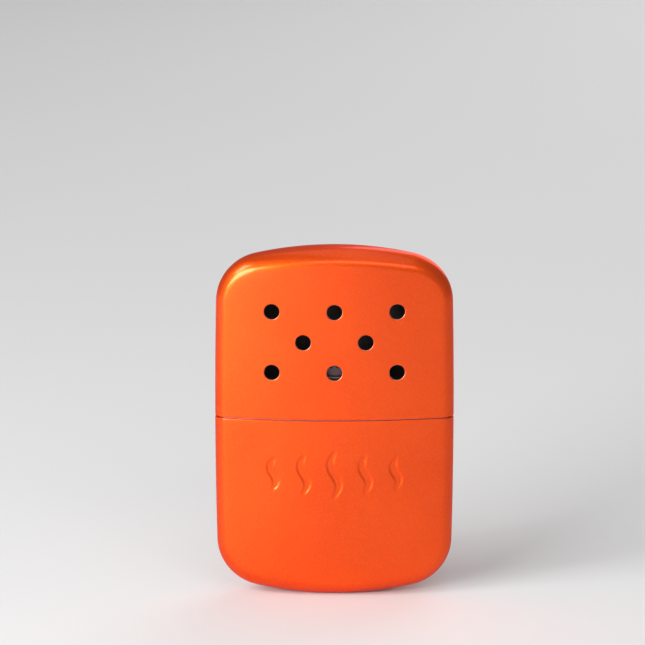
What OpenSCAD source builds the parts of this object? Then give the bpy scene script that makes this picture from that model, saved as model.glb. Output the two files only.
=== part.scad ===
// Refillable catalytic hand warmer: a flat pocket case in two drawn shells.
// The lower shell is the fuel tank, the upper one a vented lid that pulls off it, and the burner sits on the
// tank's filler neck inside the lid.
// Frame: +Z up the case, front face towards -Y, origin in the middle of the foot that the case stands on.

/* [Case] */
// Width of the case at the seam
case_w = 67; // [64:0.5:70]
// Thickness of the case at its middle
case_t = 14; // [13.5:0.5:15]
// Height of the whole case
case_h = 100; // [96:1:106]
// Height of the seam between tank and lid
seam_z = 51; // [49:0.5:53]
// Thickness of the drawn sheet
sheet = 0.5; // [0.4:0.05:0.6]
// How far the front and back faces fall away from the middle to the sides
face_sag = 4; // [3.4:0.1:4.2]
// Radius of the four corners, seen from the front
corner_r = 14; // [10:1:16]
// Radius of the crowned top and bottom, seen from the front
end_r = 106; // [90:2:140]
// Radius of the slightly bowed sides, seen from the front
side_r = 1500; // [1000:100:3000]
// How far the rounding reaches in from the sides
side_reach = 3; // [2.5:0.1:3.5]
// How far the rounding reaches in from the crowned ends
end_reach = 4.5; // [3.5:0.1:5]
// Gap between the rims of the lid and the tank
seam_gap = 0.2; // [0.1:0.05:0.3]
// Depth of the flat foot pressed into the crowned bottom
foot_cut = 0.45; // [0.3:0.05:0.6]

/* [Vents] */
// Diameter of a vent
vent_d = 4.3; // [3.5:0.1:5]
// Distance between the vents of a row
vent_pitch = 17.5; // [15:0.5:18]
// Height of the lowest row above the seam
vent_first = 13.8; // [12:0.1:14]
// Distance between rows
vent_row_gap = 8.7; // [8:0.1:9]

/* [Pressed mark] */
// Height of the mark's middle above the foot
mark_z = 35.5; // [30:0.5:40]
// Height of the mark's middle wave
mark_h = 13; // [10:0.5:15]
// Distance between the waves
mark_pitch = 8.6; // [6:0.1:9]
// Width of a wave's stroke
mark_stroke = 2.2; // [1.5:0.1:2.4]
// Depth of the mark
mark_depth = 0.25; // [0.15:0.05:0.3]

/* [Tank cap and neck] */
// Running clearance between the lid and the collar that it slides on
lid_clearance = 0.15; // [0.1:0.05:0.25]
// Thickness of the cap's sheet
cap_sheet = 0.45; // [0.4:0.05:0.6]
// How far the collar stands above the seam
collar_rise = 6.5; // [5:0.5:7]
// How far the collar reaches down into the tank
collar_depth = 5; // [4:0.5:6]
// Length of the filler neck, outside
neck_l = 30; // [28:0.5:31]
// Width of the filler neck, outside
neck_w = 8; // [7.5:0.1:8.2]
// Wall of the filler neck
neck_wall = 0.5; // [0.4:0.05:0.6]
// Height of the neck above the cap
neck_rise = 4.8; // [4:0.1:5]

/* [Burner] */
// Thickness of the burner's sheet
burner_sheet = 0.4; // [0.3:0.05:0.5]
// Running clearance between the neck and the burner's skirt
burner_clearance = 0.2; // [0.1:0.05:0.25]
// Gap between the cap and the skirt's lower edge
burner_lift = 0.3; // [0.2:0.05:0.4]
// Gap between the top of the neck and the housing's flange
neck_gap = 0.3; // [0.2:0.05:0.5]
// Length of the housing above the skirt
housing_l = 21.5; // [20:0.5:23]
// Width of the housing
housing_w = 7.6; // [7:0.1:7.8]
// Height of the housing above the skirt
housing_h = 6.2; // [6:0.1:8]
// Number of slots in each long side of the housing
slot_count = 6; // [4:1:6]
// Width of a slot
slot_w = 1.2; // [0.8:0.1:1.4]
// Distance between slots
slot_pitch = 2.2; // [2:0.1:2.4]
// Thickness of the catalyst pad
pad_t = 3.4; // [3:0.1:3.6]

/* [Hidden] */

half_w = case_w / 2;
half_t = case_t / 2;
face_r = (half_w * half_w + face_sag * face_sag) / (2 * face_sag);
lid_rise = case_h - seam_z - seam_gap;
tank_rise = seam_z + foot_cut;

cap_inset = sheet + lid_clearance;
cap_top = seam_z + collar_rise;
cap_edge_step = 0.3;
neck_top = cap_top + neck_rise;
neck_flange = 1.2;
wadding_inset = cap_inset + cap_sheet + 0.3;
wadding_top = cap_top - cap_sheet - 0.8;
layer_gap = 0.1;
wick_clearance = 0.1;
wick_drop = 1.1;

skirt_l = neck_l + 2 * (burner_clearance + burner_sheet);
skirt_w = neck_w + 2 * (burner_clearance + burner_sheet);
skirt_bottom = cap_top + burner_lift;
skirt_top = neck_top + neck_gap + 2 * burner_sheet;
skirt_h = skirt_top - skirt_bottom;
housing_top = skirt_top + housing_h;
housing_flange = 0.35;
lip = 0.8;
plate_t = 0.4;
retainer_top = housing_top - burner_sheet;
pad_top = retainer_top - plate_t;
pad_bottom = pad_top - pad_t;
slot_rows_z = [pad_bottom + 0.2, pad_top - 0.2];

side_steps = 4;
corner_steps = 10;
end_steps = 5;
edge_steps = 6;
face_steps = 6;
round_fn = 64;
vent_fn = 48;

// ---- The case's surface ----------------------------------------------------
// Seen from the front, each half of the case is bounded by three tangent arcs: a bowed side, a corner and a crowned
// end. A station is [centre, radius, angle] of one point on them, with the seam's middle at [0, 0].

function side_centre() = [half_w - side_r, 0];
function end_centre(rise) = [0, rise - end_r];

// The corner's centre lies corner_r inside both the side's arc and the end's arc.
function corner_centre(rise) =
    let (s = side_centre(), e = end_centre(rise), gap = norm(e - s), along = (e - s) / gap,
         a = side_r - corner_r, b = end_r - corner_r,
         reach = (a * a - b * b + gap * gap) / (2 * gap),
         rise_off = sqrt(a * a - reach * reach))
    s + reach * along + rise_off * [-along[1], along[0]];

function direction(v) = atan2(v[1], v[0]);

function right_stations(rise) =
    let (s = side_centre(), c = corner_centre(rise), e = end_centre(rise),
         first = direction(c - s), last = direction(c - e))
    concat([for (i = [0:side_steps - 1]) [s, side_r, first * i / side_steps]],
           [for (i = [0:corner_steps - 1]) [c, corner_r, first + (last - first) * i / corner_steps]],
           [for (i = [0:end_steps]) [e, end_r, last + (90 - last) * i / end_steps]]);

function mirrored(station) = [[-station[0][0], station[0][1]], station[1], 180 - station[2]];

function stations(rise) =
    let (right = right_stations(rise))
    concat(right, [for (i = [len(right) - 2:-1:0]) mirrored(right[i])]);

function outline_point(station, inset) =
    station[0] + (station[1] - inset) * [cos(station[2]), sin(station[2])];

// How far the rounding reaches in, at an angle round the case.
function edge_reach(angle) = side_reach + (end_reach - side_reach) * pow(sin(angle), 2);

// Half the thickness of the case at a distance x from its middle.
function face_depth(x) = half_t - face_r + sqrt(face_r * face_r - x * x);

// One point of a surface that lies inset inside the outside. Rings 0 to edge_steps round the edge over from the
// outline, and the rings after them shrink across the face towards the seam's middle.
function ring_point(station, ring, side, inset) =
    let (turn = 90 * min(ring, edge_steps) / edge_steps,
         reach = edge_reach(station[2]),
         edge = outline_point(station, inset + (reach - inset) * (1 - cos(turn))),
         shrink = 1 - max(ring - edge_steps, 0) / face_steps,
         at = edge * shrink)
    [at[0], side * (face_depth(at[0]) - inset) * sin(turn), at[1]];

rings = edge_steps + face_steps;
row_length = 2 * rings - 1;
station_count = 2 * (side_steps + corner_steps + end_steps) + 1;
surface_length = station_count * row_length + 2;

// A row runs from the front face, over the outline, to the back face.
function surface_row(station, inset) =
    [for (j = [0:row_length - 1]) ring_point(station, abs(j - rings + 1), sign(j - rings + 1), inset)];

function surface_points(rise, inset) =
    concat([for (station = stations(rise)) each surface_row(station, inset)],
           [for (side = [-1, 1]) [0, side * (half_t - inset), 0]]);

function at_row(start, i, j) =
    j < 0 ? start + station_count * row_length
          : j >= row_length ? start + station_count * row_length + 1 : start + i * row_length + j;

function surface_faces(start) =
    [for (i = [0:station_count - 2], j = [-1:row_length - 1])
        each (j < 0 ? [[at_row(start, i, -1), at_row(start, i + 1, 0), at_row(start, i, 0)]]
            : j == row_length - 1 ? [[at_row(start, i, j), at_row(start, i + 1, j), at_row(start, i, j + 1)]]
            : [[at_row(start, i, j), at_row(start, i + 1, j + 1), at_row(start, i, j + 1)],
               [at_row(start, i, j), at_row(start, i + 1, j), at_row(start, i + 1, j + 1)]])];

function flipped(faces) = [for (f = faces) [f[2], f[1], f[0]]];

// The flat rim between an outer and an inner surface, at the first and the last station.
function rim_faces(outer, inner) =
    [for (i = [0, station_count - 1], j = [-1:row_length - 1])
        each (i == 0 ? [[at_row(outer, i, j), at_row(outer, i, j + 1), at_row(inner, i, j)],
                        [at_row(inner, i, j), at_row(outer, i, j + 1), at_row(inner, i, j + 1)]]
                     : [[at_row(outer, i, j + 1), at_row(outer, i, j), at_row(inner, i, j + 1)],
                        [at_row(inner, i, j + 1), at_row(outer, i, j), at_row(inner, i, j)]])];

function rim_loop() =
    concat([for (j = [-1:row_length]) at_row(0, 0, j)],
           [for (j = [row_length - 1:-1:0]) at_row(0, station_count - 1, j)]);

// A drawn shell, open at z = 0, that rises to its crowned end.
module half_shell(rise, inner_rise) {
    polyhedron(points = concat(surface_points(rise, 0), surface_points(inner_rise, sheet)),
               faces = concat(surface_faces(0), flipped(surface_faces(surface_length)),
                              rim_faces(0, surface_length)),
               convexity = 6);
}

// The solid that fits inside such a shell, closed flat at z = 0.
module half_solid(rise, inset) {
    polyhedron(points = surface_points(rise, inset),
               faces = concat(surface_faces(0), [rim_loop()]), convexity = 4);
}

// The case's cross-section at the seam, inset inside the outside.
module case_section(inset) {
    right = [for (p = surface_row(right_stations(lid_rise)[0], inset)) [p[0], p[1]]];
    polygon(concat([[0, inset - half_t]], right, [[0, half_t - inset]],
                   [for (i = [len(right) - 1:-1:0]) [-right[i][0], right[i][1]]]));
}

// A straight-sided slot shape with round ends.
module racetrack(length, width) {
    square([length - width, width], center = true);
    for (side = [-1, 1])
        translate([side * (length - width) / 2, 0])
            circle(d = width, $fn = round_fn);
}

module racetrack_tube(length, width, wall, height) {
    linear_extrude(height)
        difference() {
            racetrack(length, width);
            racetrack(length - 2 * wall, width - 2 * wall);
        }
}

// ---- Tank -------------------------------------------------------------------

// One rising wave, blunt in the middle and tapered at both ends.
function wave_x(t, height) = 0.09 * height * sin(360 * t);
function wave_width(t) = mark_stroke * (0.35 + 0.65 * pow(sin(180 * t), 0.6));

module wave(height) {
    steps = 16;
    polygon(concat([for (i = [0:steps]) [wave_x(i / steps, height) - wave_width(i / steps) / 2,
                                         (i / steps - 0.5) * height]],
                   [for (i = [steps:-1:0]) [wave_x(i / steps, height) + wave_width(i / steps) / 2,
                                            (i / steps - 0.5) * height]]));
}

// Five waves of rising warmth, pressed into the curved front.
module pressed_mark() {
    intersection() {
        translate([0, 0, mark_z])
            rotate([90, 0, 0])
                linear_extrude(case_t)
                    for (i = [-2:2])
                        translate([i * mark_pitch, 0])
                            wave(mark_h * (1 - 0.16 * abs(i)));
        translate([0, face_r - half_t, mark_z - mark_h])
            difference() {
                cylinder(r = face_r + 1, h = 2 * mark_h, $fn = 360);
                translate([0, 0, -1])
                    cylinder(r = face_r - mark_depth, h = 2 * mark_h + 2, $fn = 360);
            }
    }
}

module tank_shell() {
    color([0.93, 0.33, 0.10])
        difference() {
            translate([0, 0, seam_z])
                mirror([0, 0, 1])
                    half_shell(tank_rise, tank_rise - foot_cut);
            translate([-half_w, -half_t, -2])
                cube([case_w, case_t, 2]);
            pressed_mark();
        }
}

// A drawn cap that closes the tank. Its collar stands above the seam and guides the lid.
module tank_cap() {
    color([0.80, 0.80, 0.78])
        difference() {
            union() {
                translate([0, 0, seam_z - collar_depth])
                    linear_extrude(collar_rise + collar_depth - cap_edge_step)
                        case_section(cap_inset);
                translate([0, 0, cap_top - cap_edge_step])
                    linear_extrude(cap_edge_step)
                        case_section(cap_inset + cap_edge_step);
            }
            translate([0, 0, seam_z - collar_depth - 1])
                linear_extrude(collar_rise + collar_depth + 1 - cap_sheet)
                    case_section(cap_inset + cap_sheet);
            translate([0, 0, cap_top - 2])
                linear_extrude(3)
                    racetrack(neck_l, neck_w);
        }
}

// The ring of braze that seals the cap into the tank.
module braze_seam() {
    color([0.72, 0.66, 0.48])
        translate([0, 0, seam_z - collar_depth + 1])
            linear_extrude(collar_depth - 1.5)
                difference() {
                    case_section(sheet + 0.02);
                    case_section(cap_inset);
                }
}

// The filler neck, with a flange brazed under the cap.
module filler_neck() {
    color([0.78, 0.78, 0.77])
        translate([0, 0, cap_top - cap_sheet - cap_sheet]) {
            racetrack_tube(neck_l, neck_w, neck_wall, neck_rise + 2 * cap_sheet);
            racetrack_tube(neck_l + 2 * neck_flange, neck_w + 2 * neck_flange, neck_flange + neck_wall, cap_sheet);
        }
}

// Cotton in two layers: a body that fills the tank and a flat layer inside the cap.
module absorbent_wadding() {
    color([0.93, 0.91, 0.86]) {
        translate([0, 0, seam_z])
            mirror([0, 0, 1])
                half_solid(tank_rise - foot_cut, wadding_inset);
        translate([0, 0, seam_z + layer_gap])
            linear_extrude(wadding_top - seam_z - layer_gap)
                case_section(wadding_inset);
    }
}

module neck_wick() {
    color([0.90, 0.88, 0.80])
        translate([0, 0, wadding_top])
            linear_extrude(neck_top - wick_drop - wadding_top)
                racetrack(neck_l - 2 * (neck_wall + wick_clearance), neck_w - 2 * (neck_wall + wick_clearance));
}

// ---- Lid --------------------------------------------------------------------

// One face's vents. They take every other place in three rows of five, from the row's first place or its second.
module face_vents(turn, first_place) {
    for (row = [0:2], place = [0:4])
        if ((row + place) % 2 == first_place)
            translate([(place - 2) * vent_pitch / 2, 0, seam_z + vent_first + row * vent_row_gap])
                rotate([turn, 0, 0])
                    cylinder(d = vent_d, h = case_t / 2 + 1, $fn = vent_fn);
}

// Three, two and three vents in the front, and two, three and two in the back, in the places between them, so
// that a draught doesn't blow straight through over the burner.
module vents() {
    face_vents(90, 0);
    face_vents(-90, 1);
}

module lid_shell() {
    color([0.93, 0.33, 0.10])
        difference() {
            translate([0, 0, seam_z + seam_gap])
                half_shell(lid_rise, lid_rise);
            vents();
        }
}

// ---- Burner -----------------------------------------------------------------

// The skirt slips over the neck. Its shoulder carries the housing.
module burner_skirt() {
    color([0.74, 0.74, 0.74]) {
        translate([0, 0, skirt_bottom])
            racetrack_tube(skirt_l, skirt_w, burner_sheet, skirt_h);
        translate([0, 0, skirt_top - burner_sheet])
            linear_extrude(burner_sheet)
                difference() {
                    racetrack(skirt_l, skirt_w);
                    racetrack(housing_l, housing_w);
                }
    }
}

module housing_slots() {
    for (i = [0:slot_count - 1])
        translate([(i - (slot_count - 1) / 2) * slot_pitch - slot_w / 2, -housing_w, slot_rows_z[0]])
            cube([slot_w, 2 * housing_w, slot_rows_z[1] - slot_rows_z[0]]);
}

// The housing holds the catalyst. A flange seats it under the shoulder, and a lip turns in over the retainer.
module burner_housing() {
    color([0.76, 0.76, 0.76]) {
        difference() {
            translate([0, 0, skirt_top - 2 * burner_sheet])
                racetrack_tube(housing_l, housing_w, burner_sheet, housing_h + 2 * burner_sheet);
            housing_slots();
        }
        translate([0, 0, skirt_top - 2 * burner_sheet])
            racetrack_tube(housing_l + 2 * housing_flange, housing_w + 2 * housing_flange,
                           housing_flange + burner_sheet, burner_sheet);
        translate([0, 0, retainer_top])
            racetrack_tube(housing_l, housing_w, lip, burner_sheet);
    }
}

// A thin plate with cross slots that fills the inside of the housing.
module slotted_plate(bars, opening_w) {
    inner_l = housing_l - 2 * burner_sheet;
    inner_w = housing_w - 2 * burner_sheet;
    pitch = (inner_l - inner_w) / bars;
    linear_extrude(plate_t)
        difference() {
            racetrack(inner_l, inner_w);
            for (i = [0:bars])
                translate([(i - bars / 2) * pitch, 0])
                    square([opening_w, inner_w - 1.6], center = true);
        }
}

module catalyst_support() {
    color([0.62, 0.60, 0.57])
        translate([0, 0, pad_bottom - plate_t])
            slotted_plate(6, 1.4);
}

module catalyst_pad() {
    color([0.82, 0.80, 0.74])
        translate([0, 0, pad_bottom])
            linear_extrude(pad_t)
                racetrack(housing_l - 2 * burner_sheet - 0.2, housing_w - 2 * burner_sheet - 0.2);
}

module catalyst_retainer() {
    color([0.70, 0.68, 0.66])
        translate([0, 0, pad_top])
            slotted_plate(5, 2);
}

tank_shell();
tank_cap();
braze_seam();
filler_neck();
absorbent_wadding();
neck_wick();
lid_shell();
burner_skirt();
burner_housing();
catalyst_support();
catalyst_pad();
catalyst_retainer();
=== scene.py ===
import math

import bmesh
import bpy
import numpy as np
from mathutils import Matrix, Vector, noise
from mathutils.geometry import delaunay_2d_cdt


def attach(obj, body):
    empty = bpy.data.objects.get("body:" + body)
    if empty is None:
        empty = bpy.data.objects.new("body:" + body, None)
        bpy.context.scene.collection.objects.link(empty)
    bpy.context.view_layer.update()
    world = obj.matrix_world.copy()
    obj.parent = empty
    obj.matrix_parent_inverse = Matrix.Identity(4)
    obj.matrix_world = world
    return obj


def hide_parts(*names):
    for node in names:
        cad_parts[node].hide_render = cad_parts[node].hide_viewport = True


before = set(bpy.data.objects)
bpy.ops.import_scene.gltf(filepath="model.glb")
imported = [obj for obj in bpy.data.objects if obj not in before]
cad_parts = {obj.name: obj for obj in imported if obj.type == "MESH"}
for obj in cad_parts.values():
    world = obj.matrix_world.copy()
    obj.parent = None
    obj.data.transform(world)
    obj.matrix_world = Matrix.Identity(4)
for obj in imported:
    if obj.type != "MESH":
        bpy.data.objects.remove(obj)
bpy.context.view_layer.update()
MM = 0.001

# ---- Sizes in millimetres, as in the CAD model -----------------------------------------------------
# Case
HALF_W = 33.5
HALF_T = 7.0
CASE_H = 100.0
SEAM_Z = 51.0
SHEET = 0.5
FACE_SAG = 4.0
CORNER_R = 14.0
END_R = 106.0
SIDE_R = 1500.0
SIDE_REACH = 3.0
END_REACH = 4.5
SEAM_GAP = 0.2
FOOT_CUT = 0.45
FACE_R = (HALF_W ** 2 + FACE_SAG ** 2) / (2 * FACE_SAG)
LID_RISE = CASE_H - SEAM_Z - SEAM_GAP
TANK_RISE = SEAM_Z + FOOT_CUT

# Vents: every other place in three rows of five. The lowest row starts at its first place in the front face,
# and at its second in the back face.
VENT_R, VENT_STEP, VENT_FIRST, VENT_ROW_GAP = 2.15, 8.75, 13.8, 8.7
FRONT_VENTS, BACK_VENTS = 0, 1

# Tank cap, filler neck and wick
CAP_INSET = 0.65
CAP_SHEET = 0.45
CAP_BOTTOM = 46.0
CAP_TOP = 57.5
NECK_L, NECK_W, NECK_WALL, NECK_TOP = 30.0, 8.0, 0.5, 62.3
NECK_FLANGE = 1.2
WICK_L, WICK_W, WICK_BOTTOM, WICK_TOP = 28.8, 6.8, 56.25, 61.2

# Burner
SKIRT_L, SKIRT_W, SKIRT_BOTTOM, SKIRT_TOP = 31.2, 9.2, 57.8, 63.4
HOUSING_L, HOUSING_W, HOUSING_TOP = 21.5, 7.6, 69.6
BURNER_SHEET = 0.4
SLOT_COUNT, SLOT_PITCH, SLOT_W = 6, 2.2, 1.2
PAD_BOTTOM, PAD_TOP = 65.4, 68.8
SLOT_H = PAD_TOP - PAD_BOTTOM - 0.4

# Pressed mark: upright waves that swing sideways and thin to their tips. The outer ones are shorter.
MARK_Z, MARK_H, MARK_PITCH, MARK_STROKE, MARK_DEPTH = 35.5, 13.0, 8.6, 2.2, 0.25
MARK_BESIDE = 2
MARK_SHRINK = 0.16
MARK_SWING = 0.09
MARK_TIP = 0.35

# ---- Sizes in millimetres that only the visual meshes have -----------------------------------------
# Fillets and spacings of points, and a pad that is 0.1 mm smaller than in the CAD model
RIM_OUTER, RIM_INNER, RIM_SUPPORT = 0.3, 0.1, 0.45
VENT_OUTER, VENT_INNER, VENT_CLEAR = 0.28, 0.1, 1.6
SLOT_OUTER, SLOT_INNER, SLOT_GUIDE, SLOT_CLEAR = 0.13, 0.08, 0.07, 0.3
PAD_L, PAD_W, PAD_SINK = 20.4, 6.5, 0.02
MARK_SOFT = 0.4
FACE_COLUMNS, FACE_START, FACE_STEP = 47, 0.9, 1.4
FINE_STEP, FINE_BESIDE, FINE_ABOVE, FINE_BORDER = 0.21, 3.0, 0.8, 0.7
WALL_COLUMNS, WALL_ROWS, WALL_STEP = 104, 12, 0.48

# Material numbers in a shell's mesh
OUTSIDE, INSIDE, CUT_EDGE = 0, 1, 2


# ---- The case's surface ----------------------------------------------------------------------------
# In the plane of the faces, [0, 0] is the middle of the seam and the second axis runs to the crowned end.

def arc_centres(rise):
    """Centres of the outline's tangent arcs: the right side, the corner and the crowned end."""
    s, e = np.array([HALF_W - SIDE_R, 0.0]), np.array([0.0, rise - END_R])
    gap = np.linalg.norm(e - s)
    along = (e - s) / gap
    a, b = SIDE_R - CORNER_R, END_R - CORNER_R
    reach = (a * a - b * b + gap * gap) / (2 * gap)
    corner = s + reach * along + math.sqrt(a * a - reach * reach) * np.array([-along[1], along[0]])
    return s, corner, e


def stations(rise, first_z, side_n=26, corner_n=30, end_n=22):
    """[centre, radius, angle] of points on the outline, from the right side over the end to the left side."""
    s, c, e = arc_centres(rise)
    side_end = math.atan2(*(c - s)[::-1])
    corner_end = math.atan2(*(c - e)[::-1])
    start = math.asin(first_z / SIDE_R)
    right = [(s, SIDE_R, start + (side_end - start) * i / side_n) for i in range(side_n)]
    right += [(c, CORNER_R, side_end + (corner_end - side_end) * i / corner_n) for i in range(corner_n)]
    right += [(e, END_R, corner_end + (math.pi / 2 - corner_end) * i / end_n) for i in range(end_n + 1)]
    return right + [mirrored(p) for p in right[-2::-1]]


def mirrored(station):
    centre, radius, angle = station
    return np.array([-centre[0], centre[1]]), radius, math.pi - angle


def side_station(z):
    """The station on the right side at a height above the seam."""
    return np.array([HALF_W - SIDE_R, 0.0]), SIDE_R, math.asin(z / SIDE_R)


def face_depth(x):
    """How far out the broad face lies from the case's middle plane."""
    return HALF_T - FACE_R + np.sqrt(FACE_R ** 2 - np.asarray(x, float) ** 2)


def reach_at(angle):
    """How far the rounded edge reaches into the face. It is least at the sides and most at the end."""
    return SIDE_REACH + (END_REACH - SIDE_REACH) * math.sin(angle) ** 2


def row(station, inset, steps=11):
    """Points over the edge at one station, from the front face to the back face, as [x, y, z]."""
    centre, radius, angle = station
    reach = reach_at(angle)
    out = []
    for j in range(-steps, steps + 1):
        turn = math.pi / 2 * abs(j) / steps
        d = inset + (reach - inset) * (1 - math.cos(turn))
        x, z = centre + (radius - d) * np.array([math.cos(angle), math.sin(angle)])
        y = math.copysign((float(face_depth(x)) - inset) * math.sin(turn), j) if j else 0.0
        out.append((x, y, z))
    return out


# ---- Mesh building ---------------------------------------------------------------------------------

class Build:
    """Collects points in millimetres and faces with a material number, then makes one welded mesh."""

    def __init__(self):
        self.points, self.faces, self.mats = [], [], []

    def add(self, points, faces, mat=0):
        start = len(self.points)
        self.points += [tuple(map(float, p)) for p in points]
        self.faces += [tuple(start + i for i in f) for f in faces]
        self.mats += [mat] * len(faces)

    def grid(self, rows, mat=0, close_rows=False, close_columns=False):
        """Quads between rows of equal length. mat is a number or a function of the row's number."""
        n, m = len(rows), len(rows[0])
        start = len(self.points)
        for i in range(n if close_rows else n - 1):
            here, there = start + i * m, start + (i + 1) % n * m
            sides = [(j, (j + 1) % m) for j in range(m if close_columns else m - 1)]
            self.faces += [(here + j, here + k, there + k, there + j) for j, k in sides]
            self.mats += [mat(i) if callable(mat) else mat] * len(sides)
        self.points += [tuple(map(float, p)) for r in rows for p in r]

    def make(self, name, materials, move=None, weld=0.002, smooth_angle=40):
        """The named object. move takes a point into the frame. Corners above smooth_angle stay sharp."""
        bm = bmesh.new()
        points = [move(p) if move else p for p in self.points]
        verts = [bm.verts.new((x * MM, y * MM, z * MM)) for x, y, z in points]
        for f, mat in zip(self.faces, self.mats):
            face = bm.faces.new([verts[i] for i in f])
            face.material_index = mat
            face.smooth = True
        bmesh.ops.remove_doubles(bm, verts=bm.verts, dist=weld * MM)
        bmesh.ops.dissolve_degenerate(bm, edges=bm.edges, dist=weld * MM * 0.5)
        bmesh.ops.recalc_face_normals(bm, faces=bm.faces)
        for e in bm.edges:
            if len(e.link_faces) == 2 and e.calc_face_angle(0) > math.radians(smooth_angle):
                e.smooth = False
        ob = new_object(name, bm)
        for m in materials:
            ob.data.materials.append(m)
        return ob


def new_object(name, bm):
    """A new object in the scene, made from a finished bmesh."""
    mesh = bpy.data.meshes.new(name)
    bm.to_mesh(mesh)
    bm.free()
    ob = bpy.data.objects.new(name, mesh)
    bpy.context.scene.collection.objects.link(ob)
    return ob


def ring(centre, radius, n=48):
    turns = [2 * math.pi * i / n for i in range(n)]
    return [(centre[0] + radius * math.cos(t), centre[1] + radius * math.sin(t)) for t in turns]


def arc(start, end, centre, steps=5):
    """Points of a quarter turn between two corners of a square around centre, both ends included."""
    out = []
    for i in range(steps + 1):
        t = math.pi / 2 * i / steps
        a, b = np.array(start, float) - centre, np.array(end, float) - centre
        out.append(tuple(np.array(centre, float) + a * math.cos(t) + b * math.sin(t)))
    return out


def cut_edge(outer, inner, sheet, steps=4):
    """[back from the cut, depth in the sheet] over a cut edge's two fillets, from the outside in."""
    turns = [math.radians(90 * i / steps) for i in range(steps + 1)]
    over = [(outer * (1 - math.sin(a)), outer * (1 - math.cos(a))) for a in turns]
    under = [(inner * (1 - math.sin(a)), sheet - inner * (1 - math.cos(a))) for a in reversed(turns)]
    return over + under


def triangulated(outer, holes, inner_points):
    """Triangles that fill the outer loop, leave the holes open and use all the points given."""
    points, edges = [], []
    for loop in [outer] + holes:
        start, n = len(points), len(loop)
        points += loop
        edges += [(start + i, start + (i + 1) % n) for i in range(n)]
    points += list(inner_points)
    verts, _, faces, _, _, _ = delaunay_2d_cdt([Vector(p) for p in points], edges, [], 0, 1e-7)
    flat = np.array([v[:] for v in verts])
    tri = np.array([f for f in faces if len(f) == 3])
    mid = flat[tri].mean(axis=1)
    keep = inside(mid, outer)
    for h in holes:
        keep &= ~inside(mid, h)
    return flat, tri[keep]


def inside(points, loop):
    """Which points lie inside a closed loop."""
    loop = np.asarray(loop)
    x, y = points[:, 0], points[:, 1]
    found = np.zeros(len(points), bool)
    for (x0, y0), (x1, y1) in zip(loop, np.roll(loop, -1, axis=0)):
        if y0 != y1:
            found ^= ((y0 > y) != (y1 > y)) & (x < x0 + (y - y0) * (x1 - x0) / (y1 - y0))
    return found


def clear_of(points, places, distance):
    """The points that lie further than a distance from every place."""
    keep = np.ones(len(points), bool)
    for p in places:
        keep &= np.hypot(*(points - np.array(p)).T) > distance
    return points[keep]


def hex_grid(x0, x1, y0, y1, step):
    """Points a step apart, with every second row offset by half a step."""
    rise = step * math.sqrt(3) / 2
    rows, places = int((y1 - y0) / rise) + 1, int((x1 - x0) / step) + 1
    return np.array([(x0 + i * step + (k % 2) * step / 2, y0 + k * rise)
                     for k in range(rows) for i in range(places)])


# ---- Shells ----------------------------------------------------------------------------------------

def vent_centres(first_place):
    """[x, height above the lid's rim] of one face's vents."""
    return [((place - 2) * VENT_STEP, VENT_FIRST - SEAM_GAP + line * VENT_ROW_GAP) for line in range(3)
            for place in range(5) if (line + place) % 2 == first_place]


def mark_depth(x, z):
    """Depth of the pressed mark. z is the height above the foot."""
    depth = np.zeros(len(x))
    for i in range(-MARK_BESIDE, MARK_BESIDE + 1):
        height = MARK_H * (1 - MARK_SHRINK * abs(i))
        t = np.clip((z - MARK_Z) / height + 0.5, 0, 1)
        middle = i * MARK_PITCH + MARK_SWING * height * np.sin(2 * math.pi * t)
        slope = MARK_SWING * 2 * math.pi * np.cos(2 * math.pi * t)
        swell = MARK_TIP + (1 - MARK_TIP) * np.sin(math.pi * np.clip(t, 0.001, 0.999)) ** 0.6
        half = MARK_STROKE / 2 * swell
        beyond = np.maximum(np.abs(z - MARK_Z) - height / 2, 0)
        off = np.hypot(np.abs(x - middle) / np.sqrt(1 + slope ** 2), beyond)
        edge = np.clip((half - off) / MARK_SOFT * 0.5 + 0.5, 0, 1)
        depth = np.maximum(depth, MARK_DEPTH * swell * edge * edge * (3 - 2 * edge))
    return depth


def rim_material(i):
    """The rim runs from the inside to the outside. Paint wraps over it and ends on the inner fillet."""
    return INSIDE if i < 4 else OUTSIDE


def vent_material(i):
    """A vent's wall from the outside in: paint on half of its outer fillet, punched metal, then the inside
    steel with its painted shade.
    """
    if i < 2:
        return OUTSIDE
    return CUT_EDGE if i < 5 else INSIDE


def face_rim(b, side, rim, columns):
    """The rim along one broad face. columns are the x places of its last ring."""
    rows = []
    for z, inset in rim:
        x_end, _, z_end = row(side_station(z), inset)[0]
        xs = [x_end * x / columns[-1] for x in columns]
        rows.append([(x, side * (float(face_depth(x)) - inset), z_end) for x in xs])
    b.grid(rows, rim_material)


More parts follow.
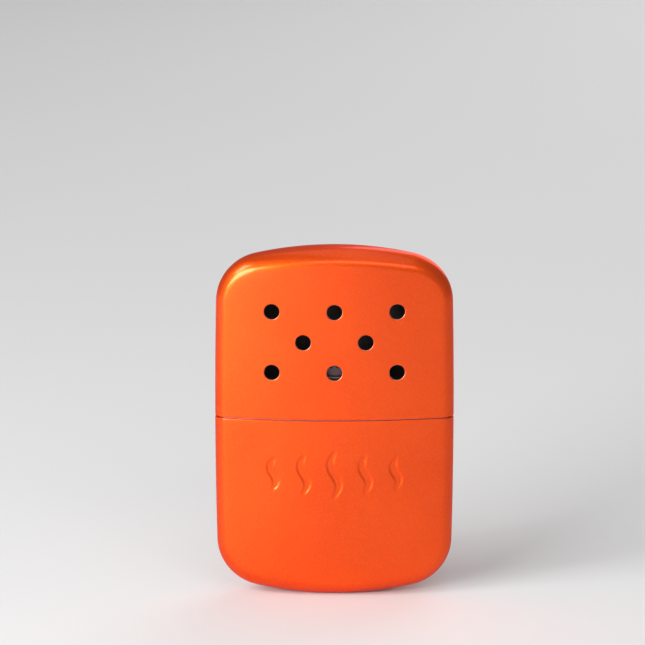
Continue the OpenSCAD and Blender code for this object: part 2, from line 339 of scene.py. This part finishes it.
def face_sheet(b, side, inset, mat, loop, rise, vents, marked):
    """One surface of one broad face, inset from the outside, with its vents open and the mark pressed in."""
    edge = VENT_R + (VENT_INNER if inset else VENT_OUTER)
    holes = [ring(c, edge) for c in vents]
    guides = []
    for c in vents:
        guides += ring(c, edge + 0.12) + ring(c, edge + 0.45, 32) + ring(c, edge + 1.0, 24)
    pts = hex_grid(-HALF_W, HALF_W, FACE_START, rise, FACE_STEP)
    pts = clear_of(pts[inside(pts, loop)], loop, 0.6 * FACE_STEP)
    pts = clear_of(pts, vents, VENT_R + VENT_CLEAR)
    if marked:
        z_mark = SEAM_Z - MARK_Z
        half_l, half_h = MARK_BESIDE * MARK_PITCH + FINE_BESIDE, MARK_H / 2 + FINE_ABOVE
        fine = hex_grid(-half_l, half_l, z_mark - half_h, z_mark + half_h, FINE_STEP)
        beside = np.abs(pts[:, 0]) > half_l + FINE_BORDER
        above_or_below = np.abs(pts[:, 1] - z_mark) > half_h + FINE_BORDER
        pts = np.vstack([pts[beside | above_or_below], fine])
    flat, tri = triangulated(loop, holes, [tuple(p) for p in pts] + guides)
    x, z = flat.T
    depth = inset + (mark_depth(x, SEAM_Z - z) if marked else 0.0)
    b.add(np.column_stack([x, side * (face_depth(x) - depth), z]), [tuple(t) for t in tri], mat)


def vent_walls(b, side, vents):
    for c in vents:
        rows = [[(x, side * (float(face_depth(x)) - depth), z) for x, z in ring(c, VENT_R + back)]
                for back, depth in cut_edge(VENT_OUTER, VENT_INNER, SHEET)]
        b.grid(rows, vent_material, close_columns=True)


def shell(name, rise, place, front_vents, back_vents, marked, materials):
    """A drawn shell with rounded edges and rim. place turns [x, y, z above the seam] into the frame."""
    b = Build()
    sheets = ((0.0, OUTSIDE), (SHEET, INSIDE))
    rim = [(RIM_SUPPORT, SHEET)] + cut_edge(RIM_OUTER, RIM_INNER, SHEET)[::-1] + [(RIM_SUPPORT, 0.0)]
    outline = stations(rise, RIM_SUPPORT)
    for inset, mat in sheets:
        b.grid([row(s, inset) for s in outline], mat)
    right = [row(side_station(z), inset) for z, inset in rim]
    b.grid(right, rim_material)
    b.grid([[(-x, y, z) for x, y, z in r] for r in right], rim_material)

    boundary = [(x, z) for x, _, z in (row(s, 0.0)[0] for s in outline)]
    columns = list(np.linspace(boundary[-1][0], boundary[0][0], FACE_COLUMNS))
    loop = boundary + [(x, boundary[0][1]) for x in columns[1:-1]]
    for side, vents in ((-1, front_vents), (1, back_vents)):
        face_rim(b, side, rim, columns)
        for inset, mat in sheets:
            pressed = marked and side == -1 and mat == OUTSIDE
            face_sheet(b, side, inset, mat, loop, rise, vents, pressed)
        vent_walls(b, side, vents)
    return b.make(name, materials, move=place)


def lid_place(p):
    return p[0], p[1], SEAM_Z + SEAM_GAP + p[2]


def tank_place(p):
    """The tank's crowned end is cut flat at the foot."""
    return p[0], p[1], max(SEAM_Z - p[2], 0.0)


# ---- Materials -------------------------------------------------------------------------------------

class Nodes:
    """Short calls that build one material's node tree."""

    def __init__(self, name):
        self.mat = bpy.data.materials.new(name)
        self.mat.use_nodes = True
        self.tree = self.mat.node_tree
        self.bsdf = self.tree.nodes["Principled BSDF"]
        self.where = self.new("ShaderNodeTexCoord").outputs["Object"]

    def new(self, kind, **sets):
        node = self.tree.nodes.new(kind)
        for k, v in sets.items():
            setattr(node, k, v)
        return node

    def put(self, socket, value):
        if hasattr(value, "is_output"):
            self.tree.links.new(value, socket)
        else:
            socket.default_value = value

    def fill(self, node, **values):
        """Sets or links a node's sockets by name, with _ for a space."""
        for k, v in values.items():
            self.put(node.inputs[k.replace("_", " ")], v)

    def stretch(self, scale):
        """Object coordinates, scaled along each axis."""
        node = self.new("ShaderNodeMapping")
        self.fill(node, Vector=self.where, Scale=scale)
        return node.outputs["Vector"]

    def noise(self, scale, detail=2.0, rough=0.5, where=None):
        node = self.new("ShaderNodeTexNoise")
        self.fill(node, Vector=where or self.where, Scale=scale, Detail=detail, Roughness=rough)
        return node.outputs["Fac"]

    def cells(self, scale):
        """A random colour for each small cell."""
        node = self.new("ShaderNodeTexVoronoi", feature="F1")
        self.fill(node, Vector=self.where, Scale=scale)
        return node.outputs["Color"]

    def span(self, value, low, high, to_low=0.0, to_high=1.0):
        node = self.new("ShaderNodeMapRange")
        self.fill(node, Value=value, From_Min=low, From_Max=high, To_Min=to_low, To_Max=to_high)
        return node.outputs["Result"]

    def mix(self, fac, a, b):
        node = self.new("ShaderNodeMix", data_type="RGBA")
        self.put(node.inputs["Factor"], fac)
        self.put(node.inputs["A"], a if hasattr(a, "is_output") else (*a, 1))
        self.put(node.inputs["B"], b if hasattr(b, "is_output") else (*b, 1))
        return node.outputs["Result"]

    def math(self, op, a, b):
        node = self.new("ShaderNodeMath", operation=op)
        self.put(node.inputs[0], a)
        self.put(node.inputs[1], b)
        return node.outputs[0]

    def bump(self, height, distance, strength, under=None):
        node = self.new("ShaderNodeBump")
        self.fill(node, Height=height, Distance=distance, Strength=strength)
        if under:
            self.put(node.inputs["Normal"], under)
        return node.outputs["Normal"]

    def part(self, vector, axis):
        node = self.new("ShaderNodeSeparateXYZ")
        self.put(node.inputs[0], vector)
        return node.outputs[axis]

    def set(self, **values):
        """Sets or links the shader's own sockets, then gives back the material."""
        self.fill(self.bsdf, **values)
        return self.mat


def paint():
    """Metallic orange enamel over steel: fine flakes, a slight orange peel and a clear coat."""
    n = Nodes("orange_enamel")
    deep, light = (0.84, 0.079, 0.005), (0.89, 0.091, 0.006)
    bright_flake, dark_flake = (1.0, 0.17, 0.016), (0.66, 0.05, 0.003)
    colour = n.mix(n.span(n.noise(45, 2.0), 0.35, 0.65), deep, light)
    flake = n.part(n.cells(4200), "X")
    colour = n.mix(n.span(flake, 0.55, 1.0, 0, 0.28), colour, bright_flake)
    colour = n.mix(n.span(flake, 0.45, 0.0, 0, 0.18), colour, dark_flake)
    smudge = n.noise(120, 4.0, 0.6)
    rough = n.math("ADD", n.span(smudge, 0.3, 0.7, 0.36, 0.39), n.span(flake, 0, 1, -0.02, 0.02))
    peel = n.bump(n.noise(850, 1.5), 0.00006, 0.5)
    normal = n.bump(n.noise(4200, 2.0), 0.00001, 0.5, peel)
    return n.set(Base_Color=colour, Metallic=0.85, Roughness=rough, Normal=normal,
                 Specular_Tint=(1.0, 0.3, 0.12, 1.0), Coat_Tint=(1.0, 0.72, 0.6, 1.0),
                 Coat_Weight=0.38, Coat_Roughness=0.1, Coat_IOR=1.5)


def shaded_inside_steel():
    """Dull unpainted steel inside the shells, coloured very dark as painted shade for the dim inside of the
    case.
    """
    n = Nodes("inside_steel_painted_shade")
    cloud = n.noise(160, 4.0, 0.6)
    streak = n.noise(500, 3.0, 0.6, n.stretch((0.15, 1, 1)))
    # Painted shade: this dark range stands in for the dim light inside the case, seen through the vents.
    colour = n.mix(n.span(cloud, 0.3, 0.7), (0.080, 0.072, 0.073), (0.135, 0.121, 0.120))
    return n.set(Base_Color=colour, Metallic=0.6, Roughness=n.span(streak, 0.3, 0.7, 0.45, 0.65),
                 Normal=n.bump(streak, 0.00002, 0.4))


def plated(name, light, dark, roughness, tints=()):
    """Drawn metal with upright draw marks. A tint is two heights in metres, then the colour above them."""
    n = Nodes(name)
    draw = n.noise(700, 3.0, 0.6, n.stretch((0.06, 0.06, 1)))
    colour = n.mix(n.span(n.noise(90, 3.0), 0.35, 0.65), light, dark)
    if tints:
        wander = n.span(n.noise(240, 2.0), 0, 1, -0.0007, 0.0007)
        height = n.math("ADD", n.part(n.where, "Z"), wander)
        for low, high, hue in tints:
            colour = n.mix(n.span(height, low, high, 0, 0.85), colour, hue)
    rough = n.span(draw, 0.3, 0.7, roughness - 0.05, roughness + 0.09)
    return n.set(Base_Color=colour, Metallic=1.0, Roughness=rough, Normal=n.bump(draw, 0.000012, 0.4))


def fibrous(name, light, dark, scale, bump, sheen=0.3):
    """Matted fibres that run both ways."""
    n = Nodes(name)
    strand = n.noise(scale, 5.0, 0.7, n.stretch((1, 0.35, 0.35)))
    cross = n.noise(scale * 1.3, 5.0, 0.7, n.stretch((0.3, 1, 0.4)))
    both = n.math("MULTIPLY", strand, cross)
    colour = n.mix(n.span(both, 0.12, 0.4), dark, light)
    return n.set(Base_Color=colour, Roughness=n.span(both, 0.1, 0.5, 0.98, 0.85), Sheen_Weight=sheen,
                 Sheen_Roughness=0.5, Normal=n.bump(both, bump, 0.9))


def braze_metal():
    """Rippled brass-coloured filler metal."""
    n = Nodes("braze_metal")
    waves = n.noise(900, 3.0)
    colour = n.mix(n.span(waves, 0.3, 0.7), (0.40, 0.28, 0.12), (0.62, 0.48, 0.24))
    return n.set(Base_Color=colour, Metallic=1.0, Roughness=n.span(waves, 0.3, 0.7, 0.4, 0.6),
                 Normal=n.bump(waves, 0.00005, 0.6))


# Straw, mauve and blue-black, one above the other, as heat leaves them on the burner. The mauve and
# blue-black bands are also much darker than heat leaves them: painted shade for the dim inside of the lid.
HEAT_TINT_AND_SHADE_BANDS = ((0.0585, 0.0612, (0.24, 0.17, 0.11)), (0.0612, 0.0634, (0.12, 0.075, 0.085)),
              (0.0632, 0.0688, (0.042, 0.034, 0.055)))
PAINT = paint()
INSIDE_STEEL_AND_SHADE = shaded_inside_steel()
PUNCHED_STEEL = plated("punched_edge", (0.78, 0.68, 0.62), (0.66, 0.54, 0.47), 0.4)
PLATED_STEEL = plated("plated_steel", (0.66, 0.66, 0.65), (0.56, 0.56, 0.56), 0.26)
# The burner's steel is darker than plated steel as painted shade for the dim inside of the lid.
BURNER_STEEL_AND_SHADE = plated("burner_steel", (0.34, 0.32, 0.31), (0.25, 0.235, 0.23), 0.30, HEAT_TINT_AND_SHADE_BANDS)
GRILLE_STEEL = plated("grille_steel", (0.42, 0.39, 0.37), (0.26, 0.24, 0.225), 0.42)
COTTON = fibrous("cotton_wadding", (0.86, 0.84, 0.78), (0.60, 0.57, 0.50), 900, 0.0006)
FELT = fibrous("pressed_felt", (0.82, 0.78, 0.66), (0.52, 0.48, 0.38), 1500, 0.0004)
# The pad's grey is its own, darkened further as painted shade for the dim inside of the lid.
GLASS_FIBRE_AND_SHADE = fibrous("glass_fibre_pad_painted_shade", (0.34, 0.32, 0.30), (0.10, 0.095, 0.09), 1800, 0.0004, 0.15)
BRAZE = braze_metal()


# ---- Tank cap and filler neck ----------------------------------------------------------------------

def racetrack(length, width, z, arcs=20, sides=14):
    """A loop with straight sides and round ends."""
    r, half = width / 2, (length - width) / 2
    turns = [math.pi * i / arcs - math.pi / 2 for i in range(arcs + 1)]
    right = [(half + r * math.cos(t), r * math.sin(t), z) for t in turns]
    left = [(-x, -y, z) for x, y, _ in right]
    across = [half - 2 * half * i / sides for i in range(1, sides)]
    return right + [(x, r, z) for x in across] + left + [(-x, -r, z) for x in across]


def section_loop(inset, z, columns=33):
    """The case's cross-section at the seam, inset from the outside."""
    right = [(x, y) for x, y, _ in row(side_station(0.0), inset, 9)]
    left = [(-x, y) for x, y in right[::-1]]
    xs = np.linspace(right[0][0], -right[0][0], columns)[1:-1]
    back = [(x, float(face_depth(x)) - inset) for x in xs]
    front = [(-x, -y) for x, y in back]
    return [(x, y, z) for x, y in right + back + left + front]


def plate(b, outer, hole, z):
    """A flat face between two loops."""
    flat, tri = triangulated([p[:2] for p in outer], [[p[:2] for p in hole]], [])
    b.add([(x, y, z) for x, y in flat], [tuple(t) for t in tri])


def tank_cap():
    """A drawn cap: a collar with a chamfered foot, a rounded shoulder and a flat top with a hole."""
    b = Build()
    shoulder, under, chamfer, support_z, play = 0.9, 0.45, 0.1, 51.5, 0.02
    top, underside = CAP_TOP, CAP_TOP - CAP_SHEET
    over, within = CAP_INSET, CAP_INSET + CAP_SHEET
    z_over, z_within = top - shoulder, underside - under
    profile = arc((within + under, z_within + under), (within, z_within), (within + under, z_within))
    profile += [(within, support_z), (within, CAP_BOTTOM + chamfer), (within - chamfer, CAP_BOTTOM)]
    profile += [(over + chamfer, CAP_BOTTOM), (over, CAP_BOTTOM + chamfer), (over, support_z)]
    profile += arc((over, z_over), (over + shoulder, top), (over + shoulder, z_over), 8)
    b.grid([section_loop(inset, z) for inset, z in profile], close_columns=True)
    hole = [racetrack(NECK_L + play, NECK_W + play, z) for z in (underside, top)]
    plate(b, section_loop(within + under, 0), hole[0], underside)
    plate(b, section_loop(over + shoulder, 0), hole[1], top)
    b.grid(hole, close_columns=True)
    return b.make("tank_cap_visual", [PLATED_STEEL])


def filler_neck():
    """The neck, with a flange under the cap, a bead at its root and a rounded rim, as [growth, z]."""
    b = Build()
    low, wall, rim = CAP_TOP - 2 * CAP_SHEET, 2 * NECK_WALL, NECK_TOP - 0.25
    profile = [(2 * NECK_FLANGE, low), (2 * NECK_FLANGE, low + CAP_SHEET), (0, low + CAP_SHEET)]
    profile += [(0, CAP_TOP - 0.2), (0.62, CAP_TOP - 0.05)]
    profile += arc((0.5, CAP_TOP + 0.02), (0, CAP_TOP + 0.26), (0.5, CAP_TOP + 0.26), 4)
    profile += [(0, 60.0)] + arc((0, rim), (-wall / 2, NECK_TOP), (-wall / 2, rim), 4)
    profile += arc((-wall / 2, NECK_TOP), (-wall, rim), (-wall / 2, rim), 4)[1:] + [(-wall, low)]
    rows = [racetrack(NECK_L + grow, NECK_W + grow, z) for grow, z in profile]
    b.grid(rows, close_rows=True, close_columns=True)
    return b.make("filler_neck_visual", [PLATED_STEEL])


# ---- Wick and catalyst pad -------------------------------------------------------------------------

def ripple(x, y, z, size, height):
    """An uneven lift, brought down so that its peaks stay near zero."""
    p = Vector((x / size, y / size, z / size))
    return height * (noise.noise(p) + 0.5 * noise.noise(p * 2.3)) - 1.3 * height


def soft_block(name, length, width, low, high, size, height, mat, sides=()):
    """A closed block with round ends, soft upper edges and an uneven top. sides adds loops up its side."""
    b = Build()
    round_edge, step_up = 0.5, 0.3
    shoulder, span = high - round_edge, width / 2 - round_edge
    levels = [(0, low), (0, low + step_up)] + [(0, low + (high - low) * t) for t in sides]
    levels += arc((0, shoulder), (round_edge, high), (round_edge, shoulder))
    levels += [(round_edge + span * t, high) for t in (0.2, 0.4, 0.6, 0.8, 1.0)]

    def loop(d, z):
        return racetrack(length - 2 * d, max(width - 2 * d, 1e-4), z, 20, 60)

    rows = [loop(d, low) for d in np.linspace(width / 2, 0, 4)[:-1]]
    for d, level in levels:
        uneven = level > shoulder
        rows.append([(x, y, z + (ripple(x, y, z, size, height) if uneven else 0))
                     for x, y, z in loop(d, level)])
    b.grid(rows, close_columns=True)
    return b.make(name, [mat])


def neck_wick():
    return soft_block("neck_wick_visual", WICK_L, WICK_W, WICK_BOTTOM, WICK_TOP, 0.5, 0.16, FELT)


def catalyst_pad():
    return soft_block("catalyst_pad_visual", PAD_L, PAD_W, PAD_BOTTOM, PAD_TOP - PAD_SINK, 0.6, 0.14,
                      GLASS_FIBRE_AND_SHADE, (0.3, 0.5, 0.7))


# ---- Burner ----------------------------------------------------------------------------------------

def burner_skirt():
    """A skirt with a flared foot, a rounded shoulder and a hole in its top. Flares are [growth, z]."""
    b = Build()
    foot, top, middle, r, turn = SKIRT_BOTTOM, SKIRT_TOP, 60.5, 0.5, 0.1
    under, sheet, edge = SKIRT_TOP - BURNER_SHEET, 2 * BURNER_SHEET, 0.16
    hole_l, hole_w = HOUSING_L + 0.04, HOUSING_W + 0.04
    outer_flare = [(0.35, foot), (0.42, foot + 0.12), (0.36, foot + 0.3), (0.12, foot + 0.62),
                   (0, foot + 0.9)]
    inner_flare = [(0, foot + 0.9), (0.12, foot + 0.62), (0.36, foot + 0.3), (0.42, foot + 0.1),
                   (0.5, foot)]
    shoulder = arc((0, top - r), (r, top), (r, top - r))
    underside = arc((r, under), (r - turn, under - turn), (r, under - turn), 3)
    profile = [(SKIRT_L + g, SKIRT_W + g, z) for g, z in outer_flare + [(0, middle)]]
    profile += [(SKIRT_L - 2 * d, SKIRT_W - 2 * d, z) for d, z in shoulder]
    profile += [(hole_l + edge, hole_w + edge, top), (hole_l, hole_w, top - edge / 2)]
    profile += [(hole_l, hole_w, under)]
    profile += [(SKIRT_L - 2 * d, SKIRT_W - 2 * d, z) for d, z in underside]
    profile += [(SKIRT_L - sheet + g, SKIRT_W - sheet + g, z) for g, z in [(0, middle)] + inner_flare]
    b.grid([racetrack(*p) for p in profile], close_rows=True, close_columns=True)
    return b.make("burner_skirt_visual", [BURNER_STEEL_AND_SHADE])


HOUSING_ARC = math.pi * HOUSING_W / 2
HOUSING_SIDE = HOUSING_L - HOUSING_W
HOUSING_ROUND = 2 * (HOUSING_ARC + HOUSING_SIDE)


def housing_point(s, depth, z):
    """A point at a distance s round the housing's wall, depth inside its outside."""
    r, half = HOUSING_W / 2, HOUSING_SIDE / 2
    s %= HOUSING_ROUND
    flip = 1.0
    if s >= HOUSING_ROUND / 2:
        s, flip = s - HOUSING_ROUND / 2, -1.0
    if s <= HOUSING_ARC / 2:
        t = s / r
        x, y = half + (r - depth) * math.cos(t), (r - depth) * math.sin(t)
    elif s <= HOUSING_ARC / 2 + HOUSING_SIDE:
        x, y = half - (s - HOUSING_ARC / 2), r - depth
    else:
        t = (s - HOUSING_SIDE) / r
        x, y = -half + (r - depth) * math.cos(t), (r - depth) * math.sin(t)
    return flip * x, flip * y, z


def slot_ring(centre, grow):
    """A slot with round ends, grown outwards."""
    r, half = SLOT_W / 2 + grow, (SLOT_H - SLOT_W) / 2
    turns = [math.pi * i / 10 for i in range(11)]
    top = [(r * math.cos(t), half + r * math.sin(t)) for t in turns]
    bottom = [(-x, -y) for x, y in top]
    side = [half * k / 2 for k in (1, 0, -1)]
    loop = top + [(-r, y) for y in side] + bottom + [(r, -y) for y in side]
    return [(centre[0] + x, centre[1] + y) for x, y in loop]


def slot_centres():
    """[distance round, z] of the slots in both long sides of the housing."""
    return [(HOUSING_ROUND / 4 + turn + (i - (SLOT_COUNT - 1) / 2) * SLOT_PITCH, (PAD_BOTTOM + PAD_TOP) / 2)
            for turn in (0, HOUSING_ROUND / 2) for i in range(SLOT_COUNT)]


def housing_wall(b, around, low, high):
    """The slotted wall. It is laid out flat as [distance round, z] and bent round by housing_point."""
    rises = list(np.linspace(low, high, WALL_ROWS))[1:-1]
    loop = [(s, low) for s in around] + [(HOUSING_ROUND, z) for z in rises]
    loop += [(s, high) for s in around[::-1]] + [(0.0, z) for z in rises[::-1]]
    slots = slot_centres()
    for depth, grow in ((0.0, SLOT_OUTER), (BURNER_SHEET, SLOT_INNER)):
        holes = [slot_ring(c, grow) for c in slots]
        guides = [p for c in slots for p in slot_ring(c, grow + SLOT_GUIDE)]
        pts = hex_grid(0.25, HOUSING_ROUND - 0.25, low + 0.3, high - 0.25, WALL_STEP)
        for c in slots:
            off = np.abs(pts - np.array(c))
            pts = pts[(off[:, 0] > SLOT_W / 2 + SLOT_CLEAR) | (off[:, 1] > SLOT_H / 2 + SLOT_CLEAR)]
        flat, tri = triangulated(loop, holes, guides + [tuple(p) for p in pts])
        closed = [(s if s < HOUSING_ROUND - 1e-6 else 0, z) for s, z in flat]
        b.add([housing_point(s, depth, z) for s, z in closed], [tuple(t) for t in tri])
    for c in slots:
        rows = [[housing_point(s, depth, z) for s, z in slot_ring(c, back)]
                for back, depth in cut_edge(SLOT_OUTER, SLOT_INNER, BURNER_SHEET, 3)]
        b.grid(rows, close_columns=True)


def burner_housing():
    """The slotted housing: its lip rolls in over the retainer, its foot steps out under the skirt's top."""
    b = Build()
    low, top, high = SKIRT_TOP, HOUSING_TOP, HOUSING_TOP - 0.5
    around = [HOUSING_ROUND * i / WALL_COLUMNS for i in range(WALL_COLUMNS + 1)]
    housing_wall(b, around, low, high)
    lip = arc((0, high), (0.5, top), (0.5, high), 6) + [(0.68, top)]
    lip += arc((0.68, top), (0.8, top - 0.12), (0.68, top - 0.12), 3)[1:] + [(0.8, top - 0.28)]
    lip += arc((0.8, top - 0.28), (0.68, top - 0.4), (0.68, top - 0.28), 3)[1:]
    lip += [(0.5, top - 0.4), (0.4, high)]
    foot = [(0, low), (0, low - 0.4), (-0.35, low - 0.4), (-0.35, low - 0.8), (0.4, low - 0.8), (0.4, low)]
    for profile in (lip, foot):
        rows = [[housing_point(s, depth, z) for s in around[:-1]] for depth, z in profile]
        b.grid(rows, close_columns=True)
    return b.make("burner_housing_visual", [BURNER_STEEL_AND_SHADE])


# ---- Pieces ----------------------------------------------------------------------------------------

def lid_shell():
    return shell("lid_shell_visual", LID_RISE, lid_place, vent_centres(FRONT_VENTS), vent_centres(BACK_VENTS),
                 False, [PAINT, INSIDE_STEEL_AND_SHADE, PUNCHED_STEEL])


def tank_shell():
    return shell("tank_shell_visual", TANK_RISE, tank_place, [], [], True, [PAINT, INSIDE_STEEL_AND_SHADE])


def stand_for(piece, body, node):
    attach(piece, body)
    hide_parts(node)


stand_for(lid_shell(), "lid", "lid_shell")
stand_for(tank_shell(), "tank", "tank_shell")
stand_for(tank_cap(), "tank", "tank_cap")
stand_for(filler_neck(), "tank", "filler_neck")
stand_for(neck_wick(), "tank", "neck_wick")
stand_for(burner_skirt(), "burner", "burner_skirt")
stand_for(burner_housing(), "burner", "burner_housing")
stand_for(catalyst_pad(), "burner", "catalyst_pad")

for node, mat in (("braze_seam", BRAZE), ("absorbent_wadding", COTTON), ("catalyst_support", GRILLE_STEEL),
                  ("catalyst_retainer", GRILLE_STEEL)):
    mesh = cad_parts[node].data
    mesh.materials.clear()
    mesh.materials.append(mat)


# ---- Stage, lights and camera, in metres -----------------------------------------------------------

# The room's light on the object, and how bright the room looks to the camera
ROOM_LIGHT, ROOM_SEEN = 0.32, 0.95
FLOOR_REACH = 4.0

# The camera stands in front of the case and looks down on it. It aims above the case and left of it, so that
# the case stands low in the frame and right of its middle, as in the photograph.
ELEVATION = math.radians(14.5)
DISTANCE = 1.45
LENS = 288.0
AIM_UP = math.radians(1.067)
AIM_LEFT = math.radians(0.137)
CASE_MIDDLE = Vector((0, 0, CASE_H / 2 * MM))


def stage_floor():
    bm = bmesh.new()
    bmesh.ops.create_grid(bm, x_segments=8, y_segments=8, size=FLOOR_REACH)
    floor = new_object("floor", bm)
    n = Nodes("floor_paper")
    tone = n.mix(n.noise(3, 2.0), (0.69, 0.69, 0.69), (0.72, 0.72, 0.72))
    floor.data.materials.append(n.set(Base_Color=tone, Roughness=0.9))


def light(name, place, aim, size, power):
    data = bpy.data.lights.new(name, "AREA")
    data.shape = "RECTANGLE"
    data.size, data.size_y = size
    data.energy = power
    ob = bpy.data.objects.new(name, data)
    ob.location = place
    ob.rotation_euler = (Vector(aim) - Vector(place)).to_track_quat("-Z", "Y").to_euler()
    ob.visible_camera = False
    bpy.context.scene.collection.objects.link(ob)


def room():
    """A white room. It looks brighter to the camera than the light that it gives."""
    world = bpy.data.worlds.new("studio")
    bpy.context.scene.world = world
    world.use_nodes = True
    tree = world.node_tree
    back = tree.nodes["Background"]
    path = tree.nodes.new("ShaderNodeLightPath")
    mix = tree.nodes.new("ShaderNodeMix")
    tree.links.new(path.outputs["Is Camera Ray"], mix.inputs["Factor"])
    mix.inputs["A"].default_value = ROOM_LIGHT
    mix.inputs["B"].default_value = ROOM_SEEN
    tree.links.new(mix.outputs["Result"], back.inputs["Strength"])
    back.inputs["Color"].default_value = (1, 1, 1, 1)


def camera():
    data = bpy.data.cameras.new("camera")
    data.lens = LENS
    cam = bpy.data.objects.new("camera", data)
    cam.location = CASE_MIDDLE + DISTANCE * Vector((0, -math.cos(ELEVATION), math.sin(ELEVATION)))
    cam.rotation_euler = (math.pi / 2 - ELEVATION + AIM_UP, 0, AIM_LEFT)
    bpy.context.scene.collection.objects.link(cam)
    bpy.context.scene.camera = cam


stage_floor()
room()
light("key", (-0.69, -0.82, 0.33), (0, 0, 0.05), (0.6, 0.5), 14.5)
light("side", (-1.0, -0.5, 0.95), (0, 0, 0.05), (0.5, 0.5), 8)
light("rear", (0.45, 1.0, 0.6), (0, 0, 0.05), (0.8, 0.8), 3.5)
light("front", (0.2, -0.98, 0.72), (0, 0, 0.05), (0.8, 0.4), 2.4)
light("top", (0.15, 0.05, 1.3), (0, 0, 0.0), (1.7, 0.6), 2.0)
camera()
bpy.context.scene.view_settings.view_transform = "Standard"
